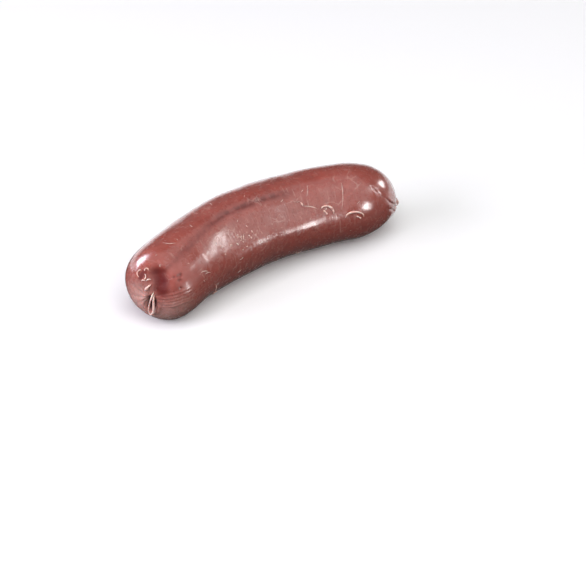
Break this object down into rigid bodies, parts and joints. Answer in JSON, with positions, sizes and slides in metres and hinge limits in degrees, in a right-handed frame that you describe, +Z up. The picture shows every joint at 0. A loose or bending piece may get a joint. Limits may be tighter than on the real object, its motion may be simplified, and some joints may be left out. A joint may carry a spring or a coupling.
{
  "type": "blood sausage",
  "caption": "Dark, gently bent blood sausage link in a thin natural casing, with blunt, puckered ends.",
  "frame": {"origin": "on the surface it rests on, below the middle of the bounding box", "axes": "+X along the chord from the puckered left tip to the tied right tip, +Y towards the outer side of the bend, +Z up"},
  "size_m": [0.1496, 0.0504, 0.0397],
  "materials": {
    "casing": "moist, half-gloss natural casing over a dark filling"
  },
  "bodies": {
    "root": {"blood_sausage": "casing"}
  },
  "joints": []
}
